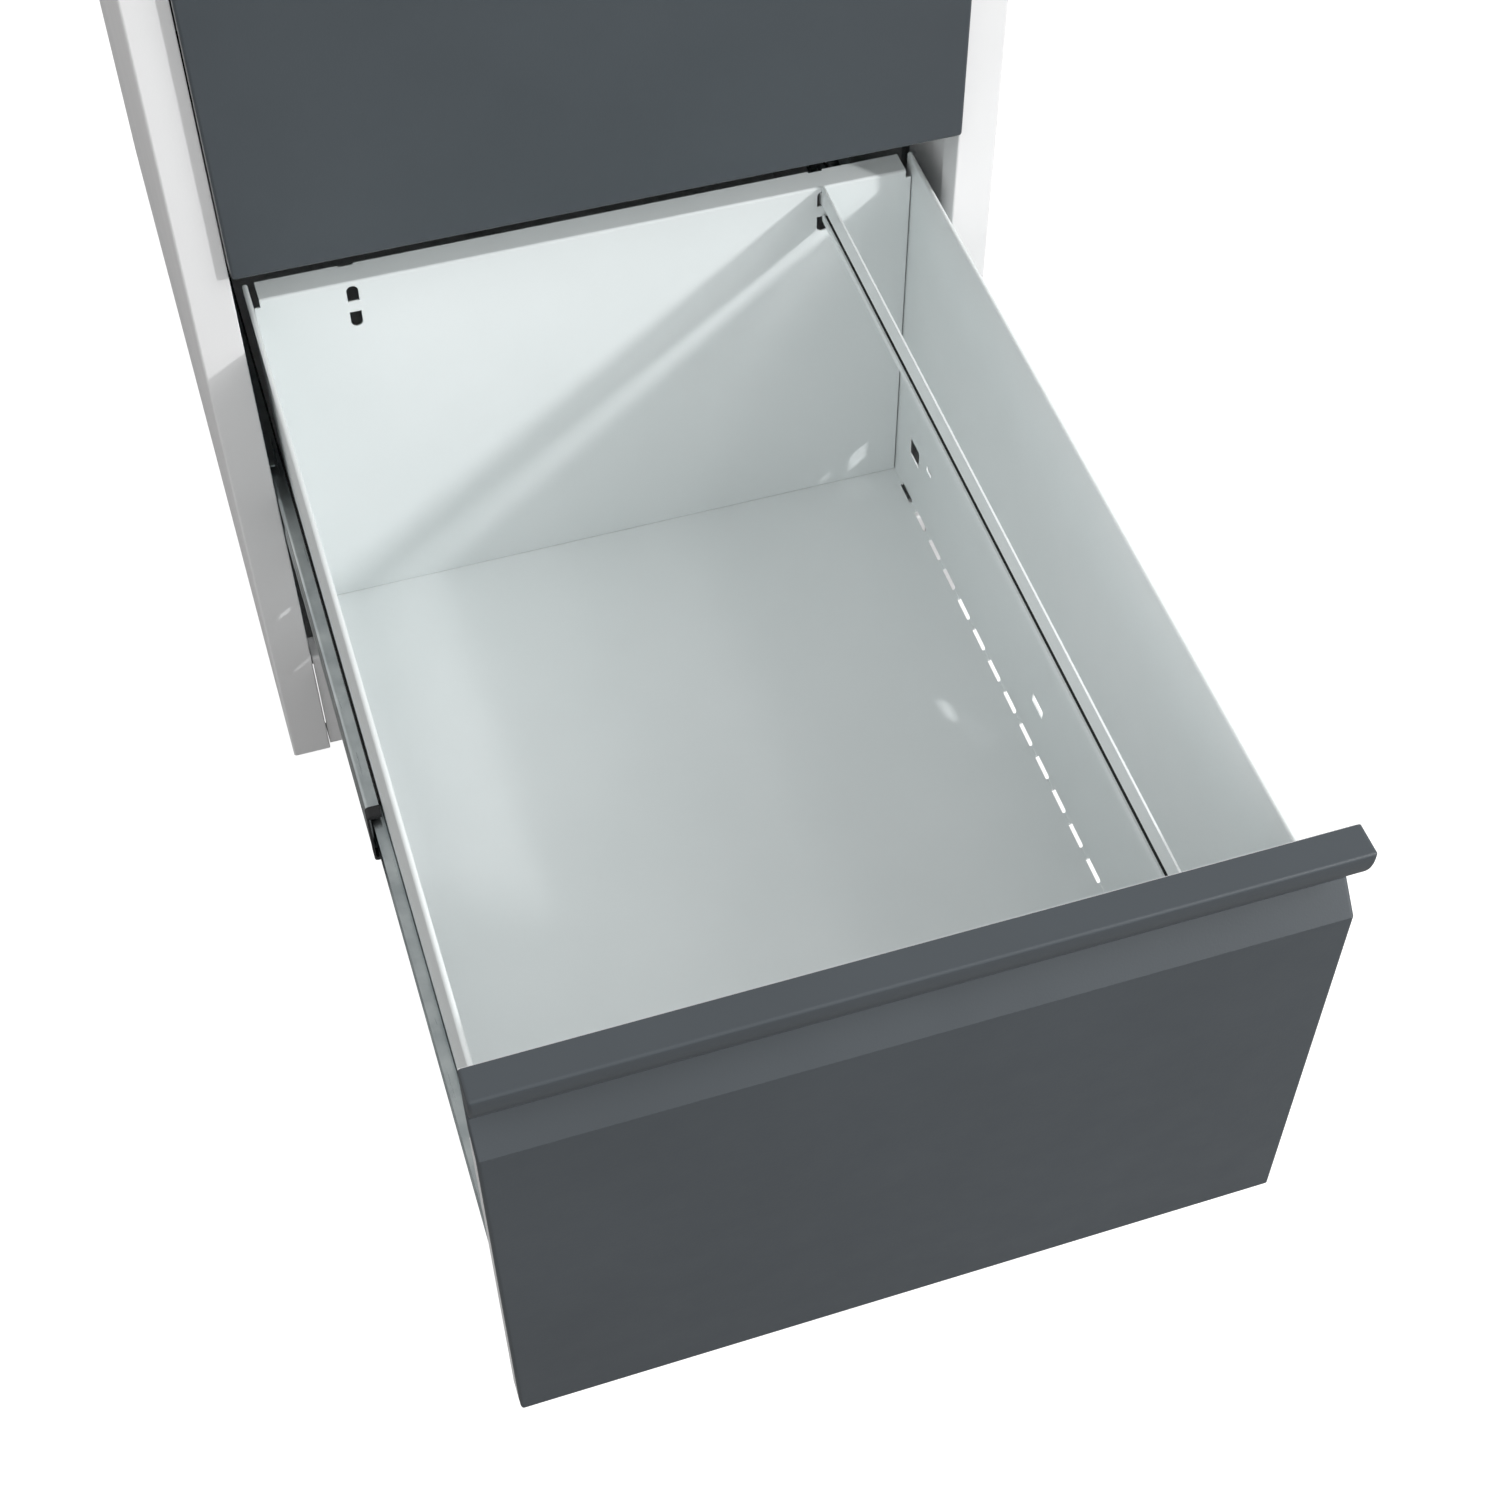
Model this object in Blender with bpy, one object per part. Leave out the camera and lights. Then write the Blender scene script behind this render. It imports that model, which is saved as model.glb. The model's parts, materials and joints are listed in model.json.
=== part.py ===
"""Two-drawer under-desk filing pedestal in folded sheet steel, with the lower drawer pulled out.

Metres, +Z up, floor at z = 0. The drawers open towards -Y and +X is to the right of someone
facing them. Every sheet part is an outline of its outer surface, given its thickness and
extruded along the fold lines, so bends and hems have their real radius.
"""
import math

import bmesh
import bpy
from mathutils import Vector

# Driving dimensions ------------------------------------------------------------------------
CASING_W = 0.420
CASING_D = 0.600
FLOOR_GAP = 0.010
FRONT_W = 0.375
FRONT_H = 0.277
FRONT_BASE = 0.089
FRONT_GAP = 0.0015
LID_SKIRT = 0.020
FRONT_PROUD = 0.007
DRAWER_OUT = 0.474
SHEET = 0.0010
THIN = 0.0008
GAP = 0.0003
SEAT = 0.0006

# Casing ------------------------------------------------------------------------------------
HALF_W = CASING_W / 2
BEND = 0.0026
STILE_INNER = 0.1884
STILE_RETURN = 0.018
NOSE_PROUD = 0.0022
FACE_Y = (DRAWER_OUT + FRONT_PROUD + NOSE_PROUD - CASING_D) / 2
SEAM_Z = FLOOR_GAP + FRONT_BASE + 2 * (FRONT_H + FRONT_GAP)
TOP_Z = SEAM_Z + LID_SKIRT
RAIL_H = 0.079
RAIL_SETBACK = 0.0025
REAR_FLANGE = 0.014
REAR_UPRIGHT_Y = 0.440
BASE_Z = 0.0620
BASE_T = 0.0012

# Drawer, measured from the bottom of its front face -----------------------------------------
END_DEPTH = 0.0035
FOOT_MARGIN = 0.0006
FOOT_FOLD = 0.020
TRAY_HALF = 0.17935
TRAY_T = 0.0009
TRAY_FLOOR = 0.0010
HEM_TOP = 0.2320
HEM_R = 0.0013
LINER_Y = 0.0140
TRAY_Y0 = LINER_Y + THIN + GAP
TRAY_Y1 = 0.5251
BACK_Y = 0.5165
BACK_FLANGE = 0.0144
BACK_TOP = 0.2275
BACK_HALF = 0.1746
SLOT_PITCH = 0.02452
SLOT_COUNT = 20
SLOT_LEN = 0.0165
FIRST_SLOT_Y = BACK_Y - 0.0222
SIDE_HOLES = (
    (0.48775, 0.04125, 0.0155, 0.0123),
    (0.46405, 0.0480, 0.0073, 0.0040),
    (0.29025, 0.0350, 0.0147, 0.0060),
)
BAR_X = 0.1267
BAR_TOP = 0.2290
BAR_FOOT = 0.2040
BAR_STEP = 0.2164
BAR_LIP_TOP = 0.2091
BAR_BACK = 0.0038
BAR_LIP = 0.0024
BAR_T = 0.0012
HOOK_X = 0.1275
HOOK_W = 0.0062
HOOK_H = 0.0100
HOOK_Z = (0.2197, 0.2028)

# Slides: three nested channels a side --------------------------------------------------------
SLIDE_Z = 0.107
SLIDE_LEN = 0.500
SLIDE_SETBACK = 0.0135
STACK_X0 = TRAY_HALF + GAP
INNER_HALF = 0.0125
INNER_DEPTH = 0.0060
MIDDLE_HALF = 0.0175
MIDDLE_X = (STACK_X0 + 0.0013, STACK_X0 + 0.0083)
OUTER_HALF = 0.0226
OUTER_X = (STACK_X0 + 0.0052, STACK_X0 + 0.0127)
UPRIGHT_X = STACK_X0 + 0.0127 + GAP
UPRIGHT_D = 0.060
BUMPER_LEN = 0.006
BUMPER_T = 0.0024
BUMPER_LAP = 0.0002

# Castors -------------------------------------------------------------------------------------
WHEEL_R = 0.020
WHEEL_W = 0.016
CASTOR_TRAIL = 0.017
CASTOR_X = 0.145
CASTOR_Y = (FACE_Y + 0.068, FACE_Y + CASING_D - 0.062)
PLATE_T = 0.0022

# Lock ----------------------------------------------------------------------------------------
LOCK_X = 0.168
LOCK_Z = SEAM_Z + LID_SKIRT / 2
LOCK_R = 0.0082

WHITE = (0.80, 0.81, 0.80)
SLATE = (0.085, 0.100, 0.115)
ZINC = (0.52, 0.54, 0.56)
BLACK = (0.012, 0.012, 0.013)
TYRE = (0.035, 0.036, 0.038)
CHROME = (0.60, 0.60, 0.60)
CAST = (0.020, 0.020, 0.021)


def clear_scene():
    for old in list(bpy.data.objects):
        bpy.data.objects.remove(old, do_unlink=True)


def make_material(name, colour, roughness, metallic):
    material = bpy.data.materials.new(name)
    material.use_nodes = True
    shader = material.node_tree.nodes["Principled BSDF"]
    shader.inputs["Base Color"].default_value = (*colour, 1.0)
    shader.inputs["Roughness"].default_value = roughness
    shader.inputs["Metallic"].default_value = metallic
    material.diffuse_color = (*colour, 1.0)
    return material


def make_materials():
    return {
        "white": make_material("white_powder_coat", WHITE, 0.45, 0.0),
        "slate": make_material("slate_powder_coat", SLATE, 0.42, 0.0),
        "zinc": make_material("zinc_plated_steel", ZINC, 0.35, 1.0),
        "black": make_material("black_plastic", BLACK, 0.50, 0.0),
        "tyre": make_material("grey_tread", TYRE, 0.70, 0.0),
        "chrome": make_material("chrome_plate", CHROME, 0.15, 1.0),
        "cast": make_material("cast_weight", CAST, 0.60, 0.0),
    }


def add_empty(name, location):
    empty = bpy.data.objects.new(name, None)
    empty.location = location
    bpy.context.collection.objects.link(empty)
    return empty


def link_mesh(name, bm, material, parent=None, location=(0.0, 0.0, 0.0), smooth=False):
    bmesh.ops.recalc_face_normals(bm, faces=bm.faces)
    mesh = bpy.data.meshes.new(name)
    bm.to_mesh(mesh)
    bm.free()
    mesh.materials.append(material)
    obj = bpy.data.objects.new(name, mesh)
    obj.location = location
    bpy.context.collection.objects.link(obj)
    obj.parent = parent
    if smooth:
        mesh.shade_smooth()
        mesh.set_sharp_from_angle(angle=math.radians(35))
    return obj


def fillet(points, radii, steps=4):
    """Round the inner corners of an open path; radii has one value for each inner corner."""
    rounded = [Vector(points[0])]
    for before, corner, after, radius in zip(points, points[1:], points[2:], radii):
        corner = Vector(corner)
        if radius <= 0:
            rounded.append(corner)
            continue
        back = (Vector(before) - corner).normalized()
        ahead = (Vector(after) - corner).normalized()
        half = back.angle(ahead) / 2
        centre = corner + (back + ahead).normalized() * radius / math.sin(half)
        start = corner + back * radius / math.tan(half) - centre
        sweep = math.pi - 2 * half
        turn = sweep if start.y * back.x - start.x * back.y > 0 else -sweep
        for i in range(steps + 1):
            angle = turn * i / steps
            cos, sin = math.cos(angle), math.sin(angle)
            turned = Vector((start.x * cos - start.y * sin, start.x * sin + start.y * cos))
            rounded.append(centre + turned)
    rounded.append(Vector(points[-1]))
    return rounded


def arc(centre, radius, start_deg, end_deg, steps):
    """Points on a circle, angles in degrees from the first axis towards the second."""
    points = []
    for i in range(steps + 1):
        angle = math.radians(start_deg + (end_deg - start_deg) * i / steps)
        points.append((centre[0] + radius * math.cos(angle), centre[1] + radius * math.sin(angle)))
    return points


def offset_left(path, distance):
    """The path moved to its left by distance, with mitred corners."""
    moved = []
    for i, point in enumerate(path):
        normals = []
        for a, b in ((i - 1, i), (i, i + 1)):
            if a >= 0 and b < len(path):
                along = (path[b] - path[a]).normalized()
                normals.append(Vector((-along.y, along.x)))
        normal = sum(normals, Vector((0.0, 0.0))).normalized()
        moved.append(point + normal * distance / normal.dot(normals[0]))
    return moved


def sheet_outline(path, thickness):
    """Closed outline of a folded sheet whose material lies to the left of the path."""
    return list(path) + offset_left(path, thickness)[::-1]


def prism(outline, axis, start, end):
    """Extrude a closed outline along X, Y or Z; its points are the other two axes in order."""
    bm = bmesh.new()
    rings = []
    for depth in (start, end):
        ring = []
        for a, b in outline:
            xyz = {"X": (depth, a, b), "Y": (a, depth, b), "Z": (a, b, depth)}[axis]
            ring.append(bm.verts.new(xyz))
        rings.append(ring)
    count = len(outline)
    for i in range(count):
        j = (i + 1) % count
        bm.faces.new((rings[0][i], rings[0][j], rings[1][j], rings[1][i]))
    bm.faces.new(rings[0][::-1])
    bm.faces.new(rings[1])
    return bm


def box(bm, low, high):
    corners = [(x, y, z) for x in (low[0], high[0]) for y in (low[1], high[1]) for z in (low[2], high[2])]
    verts = [bm.verts.new(c) for c in corners]
    for quad in ((0, 1, 3, 2), (4, 6, 7, 5), (0, 4, 5, 1), (2, 3, 7, 6), (0, 2, 6, 4), (1, 5, 7, 3)):
        bm.faces.new([verts[i] for i in quad])


def boxes(*spans):
    bm = bmesh.new()
    for low, high in spans:
        box(bm, low, high)
    return bm


def cylinder(radius, low, high, axis="Z", centre=(0.0, 0.0), segments=32):
    ring = [(x, y) for x, y in arc(centre, radius, 0, 360 - 360 / segments, segments - 1)]
    return prism(ring, axis, low, high)


def cutter(name, bm, parent=None, location=(0.0, 0.0, 0.0)):
    bmesh.ops.recalc_face_normals(bm, faces=bm.faces)
    mesh = bpy.data.meshes.new(name)
    bm.to_mesh(mesh)
    bm.free()
    obj = bpy.data.objects.new(name, mesh)
    obj.location = location
    obj.hide_render = True
    obj.display_type = "WIRE"
    bpy.context.collection.objects.link(obj)
    obj.parent = parent
    return obj


def combine(obj, other, operation):
    modifier = obj.modifiers.new(operation.lower(), "BOOLEAN")
    modifier.operation = operation
    modifier.object = other
    modifier.solver = "EXACT"


def flip(points, side):
    """Mirror a path for the right-hand side, keeping the material on its left."""
    return list(points) if side < 0 else [(-x, y) for x, y in points][::-1]


# Casing --------------------------------------------------------------------------------------

def build_sides(mats):
    back_y = FACE_Y + CASING_D - SHEET - GAP
    left = [
        (-HALF_W + REAR_FLANGE, back_y),
        (-HALF_W, back_y),
        (-HALF_W, FACE_Y),
        (-STILE_INNER, FACE_Y),
        (-STILE_INNER, FACE_Y + STILE_RETURN),
    ]
    for side, name in ((-1, "casing_left_side"), (1, "casing_right_side")):
        radii = [0.002, BEND, 0.0012]
        path = fillet(flip(left, side), radii if side < 0 else radii[::-1])
        bm = prism(sheet_outline(path, SHEET), "Z", FLOOR_GAP, SEAM_Z - GAP)
        link_mesh(name, bm, mats["white"])


def build_uprights(mats):
    """Channels that space the slides off the side panels, at the front and at the rear."""
    starts = {"front": FACE_Y + STILE_RETURN + SEAT, "rear": FACE_Y + REAR_UPRIGHT_Y}
    wall_x = HALF_W - SHEET - GAP
    for side, side_name in ((-1, "left"), (1, "right")):
        for place, y0 in starts.items():
            y1 = y0 + UPRIGHT_D
            channel = [(-wall_x, y1), (-UPRIGHT_X, y1), (-UPRIGHT_X, y0), (-wall_x, y0)]
            path = fillet(flip(channel, side), [0.0015, 0.0015], 2)
            bm = prism(sheet_outline(path, -SHEET), "Z", BASE_Z + BASE_T + GAP, SEAM_Z - 0.006)
            link_mesh(f"{side_name}_{place}_upright", bm, mats["white"])


def build_back(mats):
    y1 = FACE_Y + CASING_D
    spans = ((-HALF_W + 0.0015, y1 - SHEET, FLOOR_GAP), (HALF_W - 0.0015, y1, SEAM_Z - GAP))
    link_mesh("casing_back", boxes(spans), mats["white"])


def build_lid(mats):
    """Top pan whose skirt closes the casing on all four sides; the lock sits in its front."""
    bm = bmesh.new()
    box(bm, (-HALF_W, FACE_Y, SEAM_Z), (HALF_W, FACE_Y + CASING_D, TOP_Z))
    bottom = min(bm.faces, key=lambda f: f.calc_center_median().z)
    rim = set(bottom.edges)
    bmesh.ops.delete(bm, geom=[bottom], context="FACES_ONLY")
    sharp = [e for e in bm.edges if e not in rim]
    bmesh.ops.bevel(bm, geom=sharp, offset=BEND, segments=4, profile=0.5, affect="EDGES")
    lid = link_mesh("casing_lid", bm, mats["white"], smooth=True)
    solid = lid.modifiers.new("sheet", "SOLIDIFY")
    solid.thickness = SHEET
    solid.offset = -1
    solid.use_even_offset = True
    hole = cutter("lock_hole", cylinder(LOCK_R + GAP, FACE_Y - 0.01, FACE_Y + 0.01, "Y", (LOCK_X, LOCK_Z), 40))
    combine(lid, hole, "DIFFERENCE")


def build_base(mats):
    front_y = FACE_Y + RAIL_SETBACK
    rail_top = FLOOR_GAP + RAIL_H
    rail = [
        (front_y + 0.016, FLOOR_GAP + 0.0005),
        (front_y, FLOOR_GAP + 0.0005),
        (front_y, rail_top),
        (front_y + 0.016, rail_top),
    ]
    path = fillet(rail[::-1], [0.0015, 0.0015], 3)
    bm = prism(sheet_outline(path, SHEET), "X", -STILE_INNER + 0.0006, STILE_INNER - 0.0006)
    link_mesh("base_front_rail", bm, mats["white"])

    y0, y1 = FACE_Y + STILE_RETURN + 0.004, FACE_Y + CASING_D - SHEET - 2 * GAP
    half = HALF_W - SHEET - GAP
    pan = [(-half, BASE_Z - 0.012), (-half, BASE_Z + BASE_T), (half, BASE_Z + BASE_T), (half, BASE_Z - 0.012)]
    path = fillet(pan[::-1], [0.0015, 0.0015], 3)
    pan_bm = prism(sheet_outline(path, BASE_T), "Y", y0, y1 - SHEET - GAP)
    link_mesh("base_plate", pan_bm, mats["white"])

    slab = boxes(((-0.150, y1 - 0.110, BASE_Z + BASE_T + GAP), (0.150, y1 - 0.030, BASE_Z + BASE_T + 0.016)))
    link_mesh("counterweight", slab, mats["cast"])


# Lock ----------------------------------------------------------------------------------------

def build_lock(mats):
    housing = cylinder(LOCK_R, FACE_Y - 0.0020, FACE_Y + 0.024, "Y", segments=40)
    body = link_mesh("lock_housing", housing, mats["chrome"], location=(LOCK_X, 0, LOCK_Z), smooth=True)
    bore = cutter("lock_bore", cylinder(0.0062, FACE_Y - 0.01, FACE_Y + 0.05, "Y"), location=(LOCK_X, 0, LOCK_Z))
    combine(body, bore, "DIFFERENCE")

    plug = link_mesh("lock_plug", cylinder(0.0059, FACE_Y - 0.0012, FACE_Y + 0.0258, "Y"), mats["chrome"],
                     location=(LOCK_X, 0, LOCK_Z), smooth=True)
    key_slot = boxes(((-0.0006, FACE_Y - 0.01, -0.0036), (0.0006, FACE_Y + 0.006, 0.0036)))
    combine(plug, cutter("key_slot", key_slot, location=(LOCK_X, 0, LOCK_Z)), "DIFFERENCE")

    y0 = FACE_Y + 0.0258 + GAP
    cam = [(-0.005, -0.004), (0.006, -0.004), (0.024, -0.003), (0.024, 0.003), (0.006, 0.004), (-0.005, 0.004)]
    link_mesh("lock_cam", prism(cam, "Y", y0, y0 + 0.002), mats["zinc"], location=(LOCK_X, 0, LOCK_Z))

    bar_y = FACE_Y + STILE_RETURN + UPRIGHT_D + 0.006
    x0 = UPRIGHT_X + 0.0030
    bar = boxes(((x0, bar_y, 0.120), (x0 + 0.003, bar_y + 0.012, SEAM_Z - 0.010)))
    link_mesh("locking_bar", bar, mats["zinc"])


# Drawers -------------------------------------------------------------------------------------

def front_path():
    """Outer surface of the front from its top rear edge over the pull lip and down to the foot.

    Points are (y, z): y runs back from the face and z up from its foot. The lip's nose is part
    of a 25.5 mm circle; under it a finger channel runs back to a wall, and a quarter-round
    shoulder carries the channel out to the face.
    """
    top = FRONT_H
    nose_r = 0.0255
    nose = arc((nose_r - NOSE_PROUD, top - 0.0034), nose_r, 180, 209, 6)
    under_z = top - 0.0205
    wall_y = 0.0122
    shoulder_r = 0.0122
    shoulder = arc((wall_y, top - 0.0461), shoulder_r, 90, 172, 9)
    chin = (nose[-1][0] + 0.0028, under_z)
    upper = fillet([(0.0136, top - 0.006), (0.0136, top), (-NOSE_PROUD, top), nose[0]], [0.0015, 0.0015], 3)
    lower_lip = fillet([nose[-1], chin, (wall_y, under_z), (wall_y, shoulder[0][1] + 0.0008)], [0.0022, 0.0008], 3)
    foot = fillet([shoulder[-1], (0.0, top - 0.0478), (0.0, 0.0), (0.0136, 0.0), (0.0136, 0.009)],
                  [0.0, 0.0018, 0.0015], 3)
    path = upper[:-1] + [Vector(p) for p in nose] + lower_lip[1:] + [Vector(p) for p in shoulder[1:]] + foot[1:]
    return path


def build_front(prefix, mats, parent):
    path = front_path()
    half = FRONT_W / 2
    skin_bm = prism(sheet_outline(path, SHEET), "X", -half + 0.0015, half - 0.0015)
    skin = link_mesh(f"{prefix}_front_skin", skin_bm, mats["slate"], parent, smooth=True)
    ends = end_plate_outline(offset_left(path, 0.00015))
    for side, name in ((-1, "left"), (1, "right")):
        x0, x1 = sorted((side * (half - 0.0020), side * half))
        plate = cutter(f"{prefix}_front_{name}_end", prism(ends, "X", x0, x1), parent)
        combine(skin, plate, "UNION")

    flange_top = FRONT_H - 0.052
    liner = boxes(((-half + 0.0003, LINER_Y, 0.0012), (half - 0.0003, LINER_Y + THIN, FRONT_H - 0.0015)))
    panel = link_mesh(f"{prefix}_front_liner", liner, mats["white"], parent)
    for side, name in ((-1, "left"), (1, "right")):
        x0, x1 = sorted((side * (half - THIN), side * half))
        flange = boxes(((x0, 0.0042, 0.0016), (x1, LINER_Y + THIN / 2, flange_top)))
        combine(panel, cutter(f"{prefix}_liner_{name}_flange", flange, parent), "UNION")


def end_plate_outline(path):
    """The front's end: full depth in the lip, END_DEPTH deep down the face; the foot's fold is left out."""
    outer = [p for p in path if p.y > FOOT_MARGIN or p.x < END_DEPTH]
    without_foot = [p for p in outer if p.x <= END_DEPTH or p.y > FOOT_FOLD]
    inner = [(END_DEPTH, FOOT_MARGIN), (END_DEPTH, FRONT_H - 0.0520), (0.0132, FRONT_H - 0.0420)]
    return without_foot + [Vector(p) for p in inner]


def tray_path():
    """Section (x, z) of floor and sides, with a hem rolled outwards along the top of each side."""
    leg_z = HEM_TOP - HEM_R - 0.0035
    inside_r = HEM_R - TRAY_T
    curl = arc((-TRAY_HALF - inside_r, HEM_TOP - HEM_R), inside_r, 180, 0, 8)
    floor_z = TRAY_FLOOR - TRAY_T
    left = [Vector((-TRAY_HALF - 2 * inside_r, leg_z))] + [Vector(p) for p in curl]
    bend = fillet([left[-1], (-TRAY_HALF, floor_z), (0.0, floor_z)], [0.0016], 4)
    half_path = left + bend[1:-1]
    return half_path + [Vector((-p.x, p.y)) for p in reversed(half_path)]


def slot_centres():
    return [FIRST_SLOT_Y - SLOT_PITCH * i for i in range(SLOT_COUNT)]


def build_tray(prefix, mats, parent):
    tray_bm = prism(sheet_outline(tray_path(), TRAY_T), "Y", TRAY_Y0, TRAY_Y1)
    tray = link_mesh(f"{prefix}_tray", tray_bm, mats["white"], parent, smooth=True)
    cuts = bmesh.new()
    for side in (-1, 1):
        for y in slot_centres():
            x0, x1 = sorted((side * (TRAY_HALF + 0.001), side * (TRAY_HALF - 0.0022)))
            box(cuts, (x0, y - SLOT_LEN / 2, -0.002), (x1, y + SLOT_LEN / 2, 0.0028))
        x0, x1 = sorted((side * (TRAY_HALF + 0.001), side * (TRAY_HALF - 0.002)))
        for y, z, length, height in SIDE_HOLES:
            box(cuts, (x0, y - length / 2, z - height / 2), (x1, y + length / 2, z + height / 2))
    combine(tray, cutter(f"{prefix}_tray_cuts", cuts, parent), "DIFFERENCE")


def build_tray_back(prefix, mats, parent):
    """Back panel with a flange folded away at its top, relieved beside the side curls."""
    foot = TRAY_FLOOR + GAP
    path = fillet([(BACK_Y + BACK_FLANGE, BACK_TOP), (BACK_Y, BACK_TOP), (BACK_Y, foot)], [0.0014], 4)
    bm = prism(sheet_outline(path, TRAY_T), "X", -TRAY_HALF + TRAY_T + GAP, TRAY_HALF - TRAY_T - GAP)
    back = link_mesh(f"{prefix}_tray_back", bm, mats["white"], parent, smooth=True)
    cuts = bmesh.new()
    for side in (-1, 1):
        x0, x1 = sorted((side * BACK_HALF, side * (TRAY_HALF + 0.001)))
        box(cuts, (x0, BACK_Y - 0.002, BACK_TOP - 0.0050), (x1, BACK_Y + BACK_FLANGE + 0.002, BACK_TOP + 0.001))
        hook_cuts(cuts, side * HOOK_X)
        box(cuts, (side * HOOK_X - 0.004, BACK_Y + BACK_FLANGE - 0.0012, BACK_TOP - 0.002),
            (side * HOOK_X + 0.004, BACK_Y + BACK_FLANGE + 0.002, BACK_TOP + 0.002))
    combine(back, cutter(f"{prefix}_back_cuts", cuts, parent), "DIFFERENCE")


def hook_cuts(bm, x):
    """A pair of half-round slots, the upper with its round end up and the lower with it down."""
    r = HOOK_W / 2
    for z, start in ((HOOK_Z[0], 0), (HOOK_Z[1], 180)):
        sign = 1 if start == 0 else -1
        round_z = z + sign * (HOOK_H / 2 - r)
        outline = arc((x, round_z), r, start, start + 180, 8)
        outline += [(x - sign * r, z - sign * HOOK_H / 2), (x + sign * r, z - sign * HOOK_H / 2)]
        piece = prism(outline, "Y", BACK_Y - 0.002, BACK_Y + 0.003)
        bmesh.ops.recalc_face_normals(piece, faces=piece.faces)
        mesh = bpy.data.meshes.new("hook_slot")
        piece.to_mesh(mesh)
        piece.free()
        bm.from_mesh(mesh)
        bpy.data.meshes.remove(mesh)


def build_bar(prefix, mats, parent):
    """Hanging-file bar: a web over a channel open to the left, its tongue through an upper slot of the back."""
    floor = BAR_FOOT + BAR_T
    section = [(BAR_X, BAR_TOP), (BAR_X, BAR_STEP), (BAR_X + BAR_BACK, BAR_STEP), (BAR_X + BAR_BACK, floor),
               (BAR_X + BAR_LIP, floor), (BAR_X + BAR_LIP, BAR_LIP_TOP)]
    outline = sheet_outline(fillet(section, [0.0, 0.0004, 0.0004, 0.0004], 2), BAR_T)
    bar = link_mesh(f"{prefix}_hanging_bar", prism(outline, "Y", TRAY_Y0 + GAP, BACK_Y - GAP), mats["white"],
                    parent, smooth=True)
    z = HOOK_Z[0] - HOOK_H / 2
    tongue = boxes(((BAR_X + 0.0001, BACK_Y - 0.004, z + GAP), (BAR_X + BAR_T - 0.0001, BACK_Y + 0.004, z + 0.0065)))
    combine(bar, cutter(f"{prefix}_bar_tongue", tongue, parent), "UNION")


def channel(side, x_web, x_lip, half, thickness):
    """C section (x, z) about the slide's centre line, its web at x_web and lips at x_lip."""
    points = [(x_lip, half), (x_web, half), (x_web, -half), (x_lip, -half)]
    toward = 1 if x_web > x_lip else -1
    path = fillet([(side * x, z) for x, z in points], [0.0016, 0.0016], 3)
    return sheet_outline(path, -side * toward * thickness)


def bumper_outline(side):
    """The cap's section (x, z): rounded outside, square inside, so it wraps the inner member."""
    web, lip = MIDDLE_X[1] + BUMPER_LAP, MIDDLE_X[0]
    outside = fillet([(lip, MIDDLE_HALF), (web, MIDDLE_HALF), (web, -MIDDLE_HALF), (lip, -MIDDLE_HALF)],
                     [0.0016, 0.0016], 3)
    floor_x, inside_z = MIDDLE_X[1] - SHEET + BUMPER_LAP, MIDDLE_HALF - BUMPER_T
    inside = [(lip, -inside_z), (floor_x, -inside_z), (floor_x, inside_z), (lip, inside_z)]
    return [(side * x, z) for x, z in [tuple(p) for p in outside] + inside]


def build_slide_pair(prefix, mats, level_z, drawer, middle):
    z = SLIDE_Z
    for side, name in ((-1, "left"), (1, "right")):
        inner = channel(side, STACK_X0, STACK_X0 + INNER_DEPTH, INNER_HALF, SHEET)
        y0 = SLIDE_SETBACK + FRONT_PROUD
        bm = prism(inner, "Y", y0, y0 + SLIDE_LEN)
        link_mesh(f"{prefix}_{name}_slide_inner", bm, mats["zinc"], drawer, (0, 0, z), smooth=True)

        mid = channel(side, MIDDLE_X[1], MIDDLE_X[0], MIDDLE_HALF, SHEET)
        bm = prism(mid, "Y", SLIDE_SETBACK + BUMPER_LEN, SLIDE_SETBACK + SLIDE_LEN)
        link_mesh(f"{prefix}_{name}_slide_middle", bm, mats["zinc"], middle, (0, 0, z), smooth=True)

        outer = channel(side, OUTER_X[1], OUTER_X[0], OUTER_HALF, 0.0012)
        start = FACE_Y + STILE_RETURN + 0.0006
        bm = prism(outer, "Y", start, FACE_Y + SLIDE_SETBACK + SLIDE_LEN)
        link_mesh(f"{prefix}_{name}_slide_outer", bm, mats["zinc"], None, (0, 0, level_z + z), smooth=True)

        cap = bumper_outline(side)
        bm = prism(cap, "Y", SLIDE_SETBACK, SLIDE_SETBACK + BUMPER_LEN - GAP)
        link_mesh(f"{prefix}_{name}_slide_bumper", bm, mats["black"], middle, (0, 0, z), smooth=True)


def build_drawer(prefix, mats, opening, level):
    base_z = FLOOR_GAP + FRONT_BASE + level * (FRONT_H + FRONT_GAP)
    drawer = add_empty(f"{prefix}_drawer_axis", (0, FACE_Y - FRONT_PROUD - opening, base_z))
    middle = add_empty(f"{prefix}_middle_axis", (0, FACE_Y - opening / 2, base_z))
    build_front(prefix, mats, drawer)
    build_tray(prefix, mats, drawer)
    build_tray_back(prefix, mats, drawer)
    build_bar(prefix, mats, drawer)
    build_slide_pair(prefix, mats, base_z, drawer, middle)


# Castors -------------------------------------------------------------------------------------

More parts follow.
